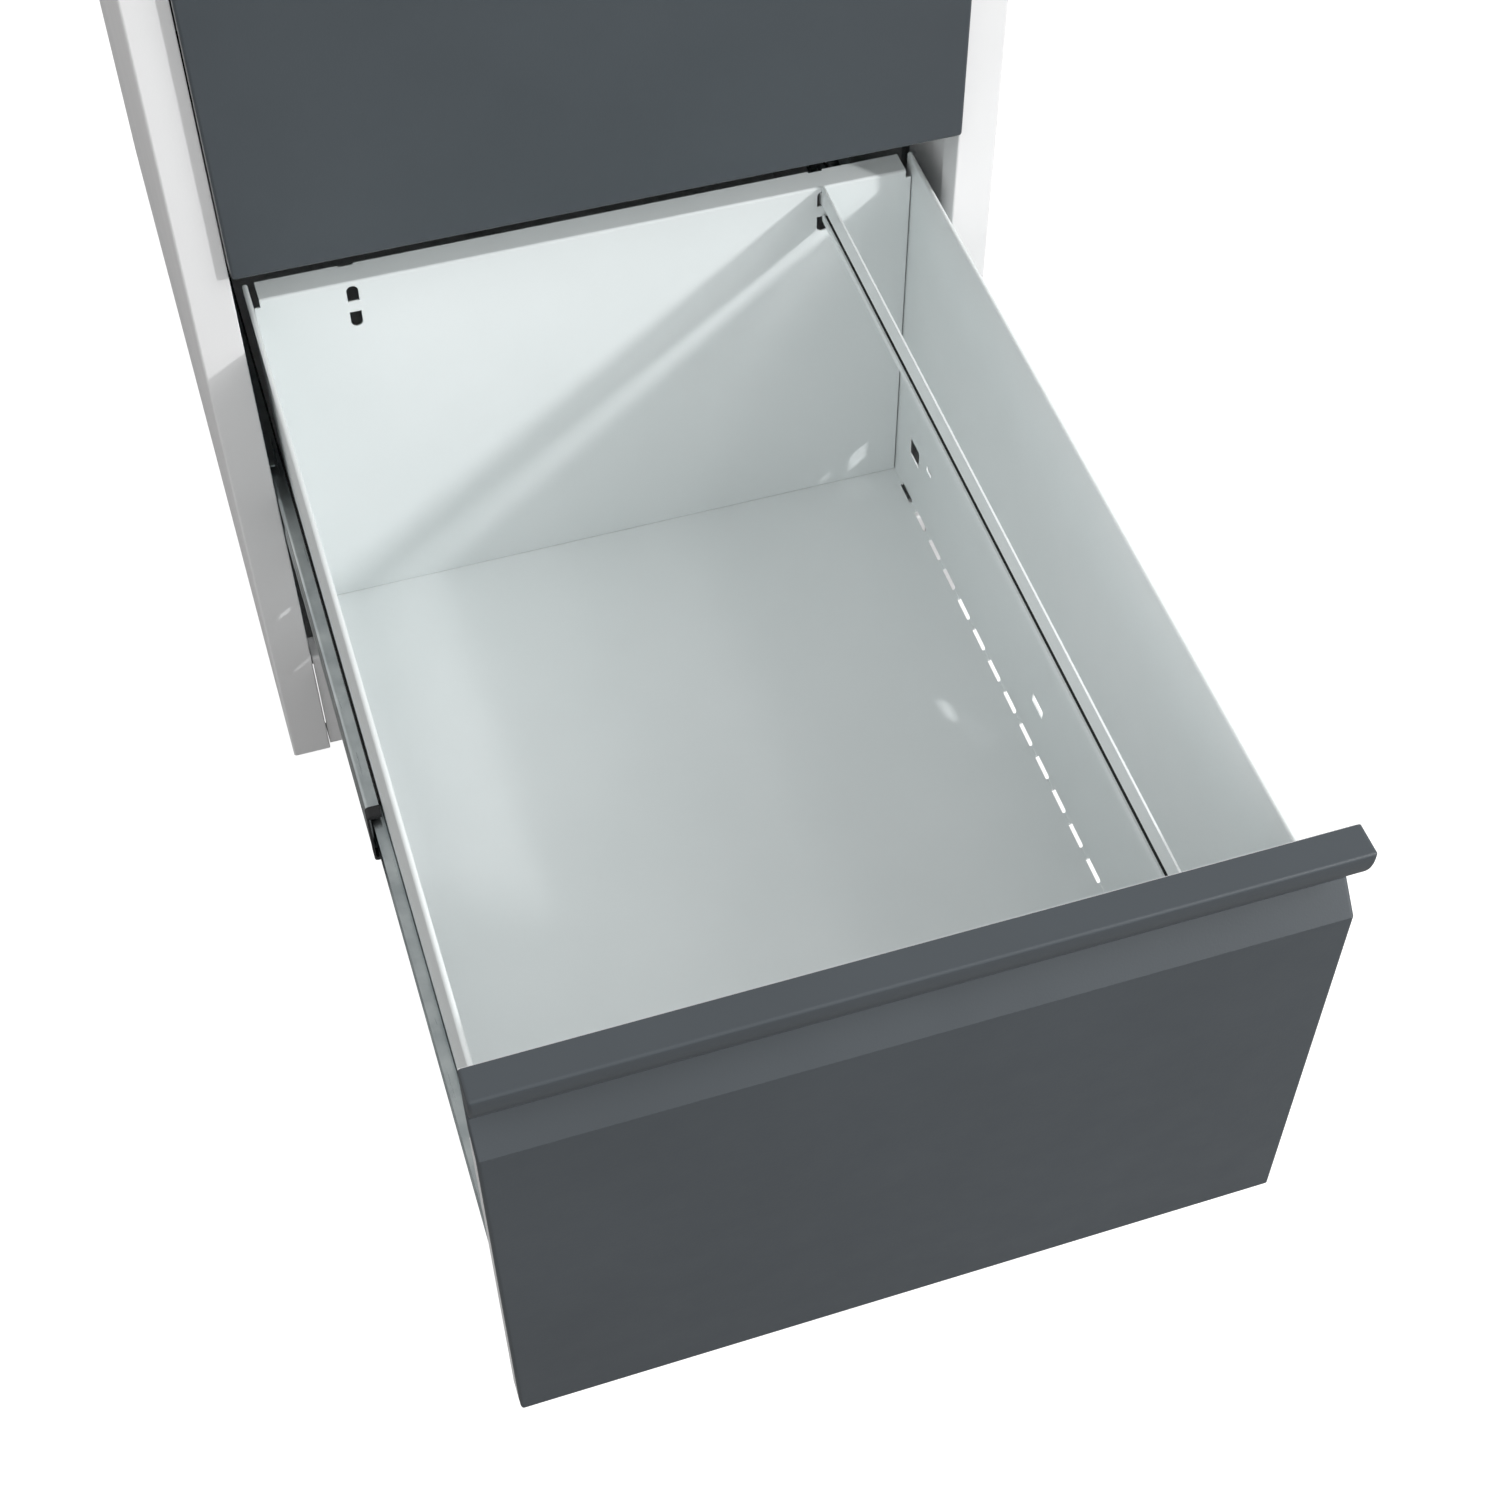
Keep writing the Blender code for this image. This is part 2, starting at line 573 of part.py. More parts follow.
def build_castor(name, mats, x, y, braked):
    plate_z1 = BASE_Z - GAP
    plate = boxes(((-0.020, -0.020, 0), (0.020, 0.020, PLATE_T)))
    link_mesh(f"{name}_plate", plate, mats["zinc"], location=(x, y, plate_z1 - PLATE_T))

    swivel = add_empty(f"{name}_swivel", (x, y, 0))
    head_z1 = plate_z1 - PLATE_T - GAP
    crown_z = 2 * WHEEL_R + 0.004
    fork_bm = cylinder(0.0145, crown_z, head_z1, "Z", segments=32)
    fork = link_mesh(f"{name}_fork", fork_bm, mats["black"], swivel, smooth=True)
    half = WHEEL_W / 2 + 0.0006
    bridge = boxes(((-half - 0.0022, -0.010, crown_z - 0.002),
                    (half + 0.0022, CASTOR_TRAIL + 0.009, crown_z + 0.003)))
    combine(fork, cutter(f"{name}_bridge", bridge, swivel), "UNION")
    for side in (-1, 1):
        x0, x1 = sorted((side * half, side * (half + 0.0021)))
        outline = arc((CASTOR_TRAIL, WHEEL_R), 0.007, 180, 360, 8)
        outline += [(CASTOR_TRAIL + 0.0085, crown_z), (CASTOR_TRAIL - 0.0220, crown_z)]
        leg = prism(outline, "X", x0, x1)
        combine(fork, cutter(f"{name}_leg_{'left' if side < 0 else 'right'}", leg, swivel), "UNION")

    link_mesh(f"{name}_wheel", wheel_mesh(), mats["tyre"], swivel, (0, CASTOR_TRAIL, WHEEL_R), smooth=True)
    if braked:
        lever = boxes(((-0.007, CASTOR_TRAIL + 0.0105, crown_z - 0.0015),
                       (0.007, CASTOR_TRAIL + 0.0275, crown_z + 0.0020)))
        link_mesh(f"{name}_brake", lever, mats["black"], swivel)


def wheel_mesh():
    """Tread turned about the axle, with a hollowed hub face on each side."""
    bm = bmesh.new()
    half = WHEEL_W / 2
    profile = [(0.0, half - 0.0012), (0.0050, half - 0.0012), (0.0060, half - 0.0035), (0.0135, half - 0.0035),
               (0.0150, half), (0.0182, half)]
    profile += [(0.0182 + 0.0018 * math.sin(a), half - 0.0018 + 0.0018 * math.cos(a))
                for a in (math.radians(d) for d in (30, 60, 90))]
    profile += [(r, -x) for r, x in reversed(profile)]
    segments = 36
    rings = []
    for radius, x in profile:
        if radius == 0.0:
            rings.append([bm.verts.new((x, 0, 0))])
            continue
        ring = []
        for i in range(segments):
            angle = 2 * math.pi * i / segments
            ring.append(bm.verts.new((x, radius * math.cos(angle), radius * math.sin(angle))))
        rings.append(ring)
    for a, b in zip(rings, rings[1:]):
        for i in range(segments):
            j = (i + 1) % segments
            quad = [a[i % len(a)], a[j % len(a)], b[j % len(b)], b[i % len(b)]]
            bm.faces.new(list(dict.fromkeys(quad)))
    return bm


def build_castors(mats):
    for depth, y in (("front", CASTOR_Y[0]), ("rear", CASTOR_Y[1])):
        for hand, x in (("left", -CASTOR_X), ("right", CASTOR_X)):
            build_castor(f"{depth}_{hand}_castor", mats, x, y, depth == "front")


def main():
    clear_scene()
    mats = make_materials()
    build_sides(mats)
    build_uprights(mats)
    build_back(mats)
    build_lid(mats)
    build_base(mats)
    build_lock(mats)
    build_drawer("lower", mats, DRAWER_OUT, 0)
    build_drawer("upper", mats, 0.0, 1)
    build_castors(mats)


main()
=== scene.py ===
"""Looks of the two-drawer filing pedestal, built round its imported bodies.

Metres, +Z up, floor at z = 0, drawers opening towards -Y. Each new piece is a surface worked out
as whole arrays: an outline carried along a fold line, a profile turned about an axis, or rings of
points joined one to the next. Sheets are drawn in the drawer's own measures, from the foot of its
front face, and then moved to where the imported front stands.
"""
import json
import math

import bmesh
import bpy
import numpy as np
from mathutils import Matrix, Vector


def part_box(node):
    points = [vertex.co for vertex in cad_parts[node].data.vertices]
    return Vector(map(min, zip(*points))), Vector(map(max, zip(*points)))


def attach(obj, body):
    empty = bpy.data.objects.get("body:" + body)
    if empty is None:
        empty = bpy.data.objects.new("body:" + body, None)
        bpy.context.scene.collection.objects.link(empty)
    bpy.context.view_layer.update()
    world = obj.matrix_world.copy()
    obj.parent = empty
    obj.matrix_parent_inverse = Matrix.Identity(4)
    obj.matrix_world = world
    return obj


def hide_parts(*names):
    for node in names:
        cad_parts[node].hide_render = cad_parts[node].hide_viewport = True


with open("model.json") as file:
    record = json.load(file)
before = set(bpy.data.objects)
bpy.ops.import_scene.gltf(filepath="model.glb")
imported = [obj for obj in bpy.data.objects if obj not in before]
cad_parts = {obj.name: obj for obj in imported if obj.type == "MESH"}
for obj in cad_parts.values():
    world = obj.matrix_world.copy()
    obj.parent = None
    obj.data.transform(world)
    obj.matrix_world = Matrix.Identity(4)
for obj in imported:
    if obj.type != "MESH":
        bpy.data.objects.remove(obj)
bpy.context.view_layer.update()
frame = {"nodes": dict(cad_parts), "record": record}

# Measures -------------------------------------------------------------------------------------
FRONT_W = 0.375
FRONT_H = 0.277
NOSE_PROUD = 0.0022
CREASE_DOWN = 0.0478
TRAY_HALF = 0.17935
TRAY_T = 0.0009
TRAY_FLOOR = 0.0010
HEM_TOP = 0.2320
HEM_R = 0.0013
LINER_Y = 0.0140
TRAY_Y0 = 0.0151
TRAY_Y1 = 0.5251
BACK_Y = 0.5165
BACK_FLANGE = 0.0144
BACK_TOP = 0.2275
BACK_HALF = 0.1746
SLOT_PITCH = 0.02452
SLOT_COUNT = 20
SLOT_LEN = 0.0165
FIRST_SLOT_Y = BACK_Y - 0.0222
BAR_X = 0.1267
BAR_TOP = 0.2290
BAR_FOOT = 0.2040
BAR_STEP = 0.2164
BAR_LIP_TOP = 0.2091
BAR_BACK = 0.0038
BAR_LIP = 0.0018
BAR_T = 0.0012
HOOK_X = 0.1275
HOOK_W = 0.0062
HOOK_H = 0.0100
HOOK_Z = (0.2197, 0.2028)
SLIDE_Z = 0.107
SLIDE_X = 0.17965

CASING = {name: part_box(name) for name in frame["record"]["behaviour"]["bodies"]["casing"]}
FACE_Y = CASING["casing_left_side"][0].y
BACK_END_Y = CASING["casing_back"][1].y
HALF_W = 0.210
STILE_INNER = 0.1884
SHEET = 0.0010

# Light and lens: distances in metres, powers in watts; the lens place is measured from the face.
KEY_WAY, KEY_FAR, KEY_SIZE, KEY_WATTS = (0.626, -0.626, 0.465), 2.4, 0.15, 25.5
BANK_WAY, BANK_FAR, BANK_SIZE, BANK_WATTS = (0.58, -0.42, 0.70), 2.6, 0.9, 14
FILL_WAY, FILL_FAR, FILL_SIZE, FILL_WATTS = (-0.45, -0.72, 0.50), 2.6, 1.4, 5
ROOM_LEVEL, ROOM_OVERHEAD = 0.88, 0.68
FLOOR_GLOW = 0.97
LENS_MM, LENS_SHIFT = 59.97, (-0.0498, 0.0015)
LENS_X, LENS_BEFORE_FACE, LENS_Z = -0.2285, 0.9673, 1.1836


# Outlines -------------------------------------------------------------------------------------

def arc(centre, radius, start_deg, end_deg, steps):
    """Points centre + radius (cos a, sin a) for a from start to end, in degrees."""
    a = np.radians(np.linspace(start_deg, end_deg, steps + 1))
    return np.stack((centre[0] + radius * np.cos(a), centre[1] + radius * np.sin(a)), axis=1)


def fillet(corners, radii, steps=8):
    """An open path whose inner corners are replaced by arcs tangent to both their sides."""
    corners = np.asarray(corners, float)
    parts = [corners[:1]]
    for before, corner, after, radius in zip(corners, corners[1:], corners[2:], radii):
        if radius <= 0:
            parts.append(corner[None])
            continue
        back = (before - corner) / np.linalg.norm(before - corner)
        ahead = (after - corner) / np.linalg.norm(after - corner)
        half = math.acos(np.clip(back @ ahead, -1, 1)) / 2
        middle = (back + ahead) / np.linalg.norm(back + ahead)
        centre = corner + middle * radius / math.sin(half)
        start = corner + back * radius / math.tan(half) - centre
        turn = math.pi - 2 * half
        turn = turn if start[1] * back[0] - start[0] * back[1] > 0 else -turn
        a = turn * np.linspace(0, 1, steps + 1)
        spun = np.stack((start[0] * np.cos(a) - start[1] * np.sin(a),
                         start[0] * np.sin(a) + start[1] * np.cos(a)), axis=1)
        parts.append(centre + spun)
    parts.append(corners[-1:])
    return np.concatenate(parts)


def normals(path):
    """Unit normals to the left of a path, mitred so that an offset keeps its distance."""
    along = np.diff(path, axis=0)
    along /= np.linalg.norm(along, axis=1)[:, None]
    left = np.stack((-along[:, 1], along[:, 0]), axis=1)
    before = np.concatenate((left[:1], left))
    after = np.concatenate((left, left[-1:]))
    mitre = before + after
    mitre /= np.linalg.norm(mitre, axis=1)[:, None]
    return mitre / np.sum(mitre * before, axis=1)[:, None]


def folded(path, thickness):
    """Closed outline of a sheet with its material to the left of the path."""
    return np.concatenate((path, (path + normals(path) * thickness)[::-1]))


def mirrored(path, side):
    """The left-hand path, or its reflection in x = 0 walked the other way."""
    return path if side < 0 else (path * (-1, 1))[::-1]


def placed(outline, axis, where):
    """Rings (stations, points, 3): the outline stood at each place along the axis."""
    outline = np.asarray(outline, float)
    where = np.asarray(where, float)
    rings = np.empty((len(where), len(outline), 3))
    across = {"X": (1, 2), "Y": (0, 2), "Z": (0, 1)}[axis]
    rings[:, :, "XYZ".index(axis)] = where[:, None]
    rings[:, :, across[0]] = outline[:, 0]
    rings[:, :, across[1]] = outline[:, 1]
    return rings


def rounded_rectangle(half_x, half_y, radius, steps=6):
    """A ring of points round a rectangle with quarter-circle corners."""
    corners = ((half_x, half_y, 0), (-half_x, half_y, 90), (-half_x, -half_y, 180),
               (half_x, -half_y, 270))
    return np.concatenate([
        arc((math.copysign(abs(x) - radius, x), math.copysign(abs(y) - radius, y)), radius, a, a + 90, steps)
        for x, y, a in corners])


# Meshes ---------------------------------------------------------------------------------------

def quads_between(rings, count, closed):
    """Index quads that join each ring of count points to the next ring."""
    i = np.arange(count if closed else count - 1)
    j = (i + 1) % count
    base = (np.arange(rings - 1) * count)[:, None]
    return np.stack((base + i, base + j, base + count + j, base + count + i), axis=-1).reshape(-1, 4)


def mesh_of(name, parts):
    """One object from (points, faces) parts, with its normals turned outwards."""
    points, faces, start = [], [], 0
    for part_points, part_faces in parts:
        points.append(np.asarray(part_points).reshape(-1, 3))
        faces += [[v + start for v in face] for face in part_faces]
        start += len(points[-1])
    mesh = bpy.data.meshes.new(name)
    mesh.from_pydata(np.concatenate(points).tolist(), [], faces)
    work = bmesh.new()
    work.from_mesh(mesh)
    bmesh.ops.remove_doubles(work, verts=work.verts, dist=1e-6)
    bmesh.ops.recalc_face_normals(work, faces=work.faces)
    work.to_mesh(mesh)
    work.free()
    obj = bpy.data.objects.new(name, mesh)
    bpy.context.scene.collection.objects.link(obj)
    return obj


def loft(rings):
    """Closed rings joined in order, with a flat cap on the first and on the last."""
    stations, count = rings.shape[:2]
    faces = quads_between(stations, count, True).tolist()
    faces.append(list(range(count))[::-1])
    faces.append(list(range((stations - 1) * count, stations * count)))
    return rings, faces


def extruded(outline, axis, low, high):
    return loft(placed(outline, axis, (low, high)))


def turned(profile, axis, centre, steps=48):
    """A profile of (radius, along) pairs turned about an axis through centre, its ends on the axis."""
    profile = np.asarray(profile, float)
    a = 2 * np.pi * np.arange(steps) / steps
    ring = np.empty((len(profile), steps, 3))
    along = "XYZ".index(axis)
    first, second = [k for k in range(3) if k != along]
    ring[:, :, along] = profile[:, 1, None]
    ring[:, :, first] = profile[:, 0, None] * np.cos(a)
    ring[:, :, second] = profile[:, 0, None] * np.sin(a)
    return loft(ring + np.asarray(centre, float))


def box_part(low, high):
    (x0, y0, z0), (x1, y1, z1) = low, high
    return extruded([(x0, y0), (x1, y0), (x1, y1), (x0, y1)], "Z", z0, z1)


def moved(part, shift):
    return np.asarray(part[0]) + np.asarray(shift), part[1]


def cut_away(obj, parts):
    """Takes closed parts out of a piece and keeps the result as its mesh."""
    tool = mesh_of("punch", parts)
    cut = obj.modifiers.new("cut", "BOOLEAN")
    cut.operation = "DIFFERENCE"
    cut.solver = "EXACT"
    cut.object = tool
    graph = bpy.context.evaluated_depsgraph_get()
    mesh = bpy.data.meshes.new_from_object(obj.evaluated_get(graph))
    obj.modifiers.clear()
    old = obj.data
    obj.data = mesh
    bpy.data.meshes.remove(old)
    bpy.data.objects.remove(tool)


def dress(obj, finish, body, replaced=(), soften=0.0, sharp_deg=32):
    """Shading, edge softening, finish and body of a new piece."""
    name, slot = FINISHES[finish]
    obj.data.materials.clear()
    obj.data.materials.append(name)
    obj.data.shade_smooth()
    obj.data.set_sharp_from_angle(angle=math.radians(sharp_deg))
    if soften > 0:
        bevel = obj.modifiers.new("soft_edges", "BEVEL")
        bevel.width = soften
        bevel.segments = 2
        bevel.limit_method = "ANGLE"
        bevel.angle_limit = math.radians(50)
        bevel.harden_normals = True
    even = obj.modifiers.new("flat_faces_stay_flat", "WEIGHTED_NORMAL")
    even.keep_sharp = True
    even.weight = 90
    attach(obj, body)
    if replaced:
        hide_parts(*replaced)
    return obj


# Finishes -------------------------------------------------------------------------------------

def new_finish(name, roughness, metallic):
    material = bpy.data.materials.new(name)
    material.use_nodes = True
    shader = material.node_tree.nodes["Principled BSDF"]
    shader.inputs["Roughness"].default_value = roughness
    shader.inputs["Metallic"].default_value = metallic
    return material, material.node_tree, shader


def object_noise(tree, scale, detail, stretch=(1, 1, 1)):
    coordinates = tree.nodes.new("ShaderNodeTexCoord")
    mapping = tree.nodes.new("ShaderNodeMapping")
    mapping.inputs["Scale"].default_value = stretch
    noise = tree.nodes.new("ShaderNodeTexNoise")
    noise.inputs["Scale"].default_value = scale
    noise.inputs["Detail"].default_value = detail
    tree.links.new(coordinates.outputs["Object"], mapping.inputs["Vector"])
    tree.links.new(mapping.outputs["Vector"], noise.inputs["Vector"])
    return noise


def ranged(tree, source, low, high):
    """The source's middle range spread between low and high."""
    spread = tree.nodes.new("ShaderNodeMapRange")
    spread.inputs["From Min"].default_value = 0.3
    spread.inputs["From Max"].default_value = 0.7
    spread.inputs["To Min"].default_value = low
    spread.inputs["To Max"].default_value = high
    tree.links.new(source, spread.inputs["Value"])
    return spread.outputs["Result"]


def two_tone(tree, shader, source, dark, light):
    ramp = tree.nodes.new("ShaderNodeValToRGB")
    ramp.color_ramp.elements[0].position = 0.32
    ramp.color_ramp.elements[0].color = (*dark, 1)
    ramp.color_ramp.elements[1].position = 0.68
    ramp.color_ramp.elements[1].color = (*light, 1)
    tree.links.new(source, ramp.inputs["Fac"])
    tree.links.new(ramp.outputs["Color"], shader.inputs["Base Color"])


def bumped(tree, shader, source, strength, distance):
    bump = tree.nodes.new("ShaderNodeBump")
    bump.inputs["Strength"].default_value = strength
    bump.inputs["Distance"].default_value = distance
    tree.links.new(source, bump.inputs["Height"])
    tree.links.new(bump.outputs["Normal"], shader.inputs["Normal"])


def powder_coat(name, dark, light, roughness, peel):
    """Cured powder: a faint orange peel, a slow drift of tone and a little unevenness in its gloss."""
    material, tree, shader = new_finish(name, roughness, 0.0)
    drift = object_noise(tree, 7, 3)
    two_tone(tree, shader, drift.outputs["Fac"], dark, light)
    grain = object_noise(tree, 900, 2)
    bumped(tree, shader, grain.outputs["Fac"], peel, 0.00025)
    gloss = object_noise(tree, 45, 4)
    tree.links.new(ranged(tree, gloss.outputs["Fac"], roughness - 0.04, roughness + 0.05),
                   shader.inputs["Roughness"])
    shader.inputs["Specular IOR Level"].default_value = 0.45
    return material


def zinc_plate(name, dark, light, roughness):
    """Rolled steel under clear zinc: fine lines drawn out along Y and a cloudy, cool tone."""
    material, tree, shader = new_finish(name, roughness, 1.0)
    cloud = object_noise(tree, 60, 5)
    two_tone(tree, shader, cloud.outputs["Fac"], dark, light)
    lines = object_noise(tree, 700, 3, (1, 0.03, 1))
    bumped(tree, shader, lines.outputs["Fac"], 0.12, 0.0002)
    tree.links.new(ranged(tree, lines.outputs["Fac"], roughness - 0.08, roughness + 0.1),
                   shader.inputs["Roughness"])
    return material


def moulded(name, dark, light, roughness, scale, strength):
    """Moulded plastic or rubber with a spark-eroded grain."""
    material, tree, shader = new_finish(name, roughness, 0.0)
    tone = object_noise(tree, 30, 3)
    two_tone(tree, shader, tone.outputs["Fac"], dark, light)
    grain = object_noise(tree, scale, 4)
    bumped(tree, shader, grain.outputs["Fac"], strength, 0.0002)
    return material


def plated(name, dark, light, roughness):
    """Bright plate with hairline scratches."""
    material, tree, shader = new_finish(name, roughness, 1.0)
    tone = object_noise(tree, 120, 2)
    two_tone(tree, shader, tone.outputs["Fac"], dark, light)
    hairline = object_noise(tree, 1500, 2, (0.1, 1, 1))
    tree.links.new(ranged(tree, hairline.outputs["Fac"], roughness - 0.04, roughness + 0.08),
                   shader.inputs["Roughness"])
    return material


FINISHES = {
    # Drawer white: the casing's white coat plus a cool green-blue tint that stands in for the shade inside
    # the drawer; that tint is painted shade.
    "white": (powder_coat("white_powder", (0.775, 0.815, 0.815), (0.815, 0.850, 0.852), 0.42, 0.10),
              "white_powder_coat"),
    "casing": (powder_coat("casing_powder", (0.80, 0.803, 0.808), (0.84, 0.843, 0.848), 0.45, 0.10),
               "white_powder_coat"),
    "slate": (powder_coat("slate_powder", (0.054, 0.064, 0.073), (0.060, 0.071, 0.081), 0.44, 0.14),
              "slate_powder_coat"),
    "zinc": (zinc_plate("zinc_plate", (0.42, 0.46, 0.47), (0.58, 0.62, 0.62), 0.34), "zinc_plated_steel"),
    "black": (moulded("black_moulding", (0.010, 0.010, 0.011), (0.018, 0.018, 0.019), 0.5, 800, 0.2),
              "black_plastic"),
    "tread": (moulded("grey_tread", (0.030, 0.031, 0.033), (0.045, 0.046, 0.048), 0.72, 500, 0.3),
              "grey_tread"),
    "chrome": (plated("lock_chrome", (0.55, 0.55, 0.56), (0.66, 0.66, 0.67), 0.14), "chrome_plate"),
    "weight": (moulded("cast_weight", (0.012, 0.012, 0.013), (0.024, 0.024, 0.025), 0.6, 250, 0.5),
               "cast_weight"),
}


# Drawer pieces --------------------------------------------------------------------------------

def front_outline():
    """The front's outer surface (y, z): top, nose, finger channel, sloping shoulder, face and foot."""
    top = FRONT_H
    nose_r = 0.0255
    nose = arc((nose_r - NOSE_PROUD, top - 0.0034), nose_r, 180, 209, 12)
    under_z = top - 0.0205
    wall_y = 0.0122
    crease_z = top - CREASE_DOWN
    slope_z = crease_z + wall_y * 1.05
    chin = (nose[-1][0] + 0.0028, under_z)
    upper = fillet([(0.0136, top), (-NOSE_PROUD, top), nose[0]], [0.0015], 8)
    lower_lip = fillet([nose[-1], chin, (wall_y, under_z), (wall_y, slope_z), (0.0, crease_z)],
                       [0.0022, 0.0008, 0.0008], 8)
    foot = fillet([(0.0, crease_z), (0.0, 0.0), (0.0136, 0.0)], [0.0018], 8)
    return np.concatenate((upper[:-1], nose, lower_lip[1:], foot[1:]))


def front_solid():
    """Front skin as rings along X; each end rolls in by a quarter circle and its foot corners round.

    At x the outer surface is inset by r - sqrt(r^2 - d^2), with d the distance past the start of
    the roll, and nothing hangs below the corner arc R - sqrt(R^2 - e^2).
    """
    outer = front_outline()
    inward = normals(outer)
    inner = np.array([(0.0136, 0.0030), (0.0042, 0.0030), (0.0042, FRONT_H - 0.052),
                      (0.0132, FRONT_H - 0.043)])
    half, roll, corner = FRONT_W / 2, 0.0016, 0.0034
    rolling = np.radians(np.linspace(12, 90, 8))
    from_end = np.concatenate((np.linspace(corner, roll, 5), roll * (1 - np.sin(rolling))))
    x = np.concatenate((-half + from_end[::-1], half - from_end))
    past_roll = np.maximum(np.abs(x) - (half - roll), 0)
    past_corner = np.maximum(np.abs(x) - (half - corner), 0)
    inset = roll - np.sqrt(np.maximum(roll**2 - past_roll**2, 0))
    foot = corner - np.sqrt(np.maximum(corner**2 - past_corner**2, 0))
    moved_in = outer[None] + inward[None] * inset[:, None, None]
    section = np.concatenate((moved_in, np.broadcast_to(inner, (len(x), *inner.shape))), axis=1)
    rings = np.empty((*section.shape[:2], 3))
    rings[:, :, 0] = x[:, None]
    rings[:, :, 1] = np.minimum(section[:, :, 0], 0.0136)
    rings[:, :, 2] = np.maximum(section[:, :, 1], foot[:, None])
    return loft(rings)


def tray_outline():
    """Floor and sides (x, z): each side rises to a hem rolled outwards by a half turn of radius HEM_R."""
    leg_z = HEM_TOP - HEM_R - 0.0035
    inside_r = HEM_R - TRAY_T
    curl = arc((-TRAY_HALF - inside_r, HEM_TOP - HEM_R), inside_r, 180, 0, 14)
    floor_z = TRAY_FLOOR - TRAY_T
    bend = fillet([curl[-1], (-TRAY_HALF, floor_z), (0.0, floor_z)], [0.0016], 6)
    half = np.concatenate((np.array([(-TRAY_HALF - 2 * inside_r, leg_z)]), curl, bend[1:-1]))
    return np.concatenate((half, (half * (-1, 1))[::-1]))


def slotted_tray(shift):
    tray = mesh_of("tray", [moved(extruded(folded(tray_outline(), TRAY_T), "Y", TRAY_Y0, TRAY_Y1), shift)])
    punches = []
    for side in (-1, 1):
        for y in FIRST_SLOT_Y - SLOT_PITCH * np.arange(SLOT_COUNT):
            x0, x1 = sorted((side * (TRAY_HALF + 0.001), side * (TRAY_HALF - 0.0024)))
            ends = rounded_rectangle(SLOT_LEN / 2, 0.0024, 0.0012, 4) + (y, 0.0)
            punches.append(moved(extruded(ends, "X", x0, x1), (0, 0, 0.0004)))
        x0, x1 = sorted((side * (TRAY_HALF + 0.001), side * (TRAY_HALF - 0.002)))
        for y, z, half_y, half_z in ((0.48775, 0.04125, 0.00775, 0.00615), (0.46405, 0.0480, 0.00365, 0.0020),
                                     (0.29025, 0.0350, 0.00735, 0.0030)):
            hole = rounded_rectangle(half_y, half_z, 0.0008, 3)
            punches.append(moved(extruded(hole, "X", x0, x1), (0, y, z)))
    cut_away(tray, [moved(p, shift) for p in punches])
    return tray


def hook_slot(x, z, upward):
    """A slot with one round end: a half circle over a rectangle, or the same turned over."""
    r = HOOK_W / 2
    sign = 1 if upward else -1
    bend = arc((x, z + sign * (HOOK_H / 2 - r)), r, 0 if upward else 180, 180 if upward else 360, 14)
    foot = [(x - sign * r, z - sign * HOOK_H / 2), (x + sign * r, z - sign * HOOK_H / 2)]
    return np.concatenate((bend, foot))


def back_panel(shift):
    corners = [(BACK_Y + BACK_FLANGE, BACK_TOP), (BACK_Y, BACK_TOP), (BACK_Y, TRAY_FLOOR + 0.0003)]
    path = fillet(corners, [0.0014], 8)
    reach = TRAY_HALF - TRAY_T - 0.0008
    back = mesh_of("tray_back", [moved(extruded(folded(path, TRAY_T), "X", -reach, reach), shift)])
    punches = []
    for side in (-1, 1):
        x0, x1 = sorted((side * BACK_HALF, side * (TRAY_HALF + 0.001)))
        punches.append(box_part((x0, BACK_Y - 0.002, BACK_TOP - 0.0050),
                                (x1, BACK_Y + BACK_FLANGE + 0.002, BACK_TOP + 0.001)))
        punches.append(box_part((side * HOOK_X - 0.004, BACK_Y + BACK_FLANGE - 0.0012, BACK_TOP - 0.002),
                                (side * HOOK_X + 0.004, BACK_Y + BACK_FLANGE + 0.002, BACK_TOP + 0.002)))
        for z, upward in zip(HOOK_Z, (True, False)):
            punches.append(extruded(hook_slot(side * HOOK_X, z, upward), "Y", BACK_Y - 0.002, BACK_Y + 0.003))
    cut_away(back, [moved(p, shift) for p in punches])
    return back


def file_bar(shift):
    """A web over a channel open to the left, carried along Y, with a tongue through the upper slot.

    The black strip in the channel, made in build_drawer, is painted shade: it stands for the deep shadow
    inside the channel.
    """
    floor = BAR_FOOT + BAR_T
    section = [(BAR_X, BAR_TOP), (BAR_X, BAR_STEP), (BAR_X + BAR_BACK, BAR_STEP), (BAR_X + BAR_BACK, floor),
               (BAR_X + BAR_LIP, floor), (BAR_X + BAR_LIP, BAR_LIP_TOP)]
    path = fillet(section, [0.0, 0.0005, 0.0005, 0.0004], 5)
    bar = extruded(folded(path, BAR_T), "Y", TRAY_Y0 + 0.0003, BACK_Y - 0.0003)
    z = HOOK_Z[0] - HOOK_H / 2
    tongue = box_part((BAR_X + 0.0001, BACK_Y - 0.0006, z + 0.0003),
                      (BAR_X + BAR_T - 0.0001, BACK_Y + 0.004, z + 0.0065))
    return mesh_of("bar", [moved(bar, shift), moved(tongue, shift)])


def slide_section(side, web, lip, half, thickness, bead):
    """C section (x, z): lips at +-half, and a web whose middle steps in by bead."""
    inward = math.copysign(bead, lip - web)
    points = [(lip, half), (web, half), (web, 0.45 * half), (web + inward, 0.36 * half),
              (web + inward, -0.36 * half), (web, -0.45 * half), (web, -half), (lip, -half)]
    path = fillet([(side * (SLIDE_X + d), z) for d, z in points],
                  [0.0018, 0.0008, 0.0008, 0.0008, 0.0008, 0.0018], 5)
    toward = 1 if web > lip else -1
    return folded(path, -side * toward * thickness)


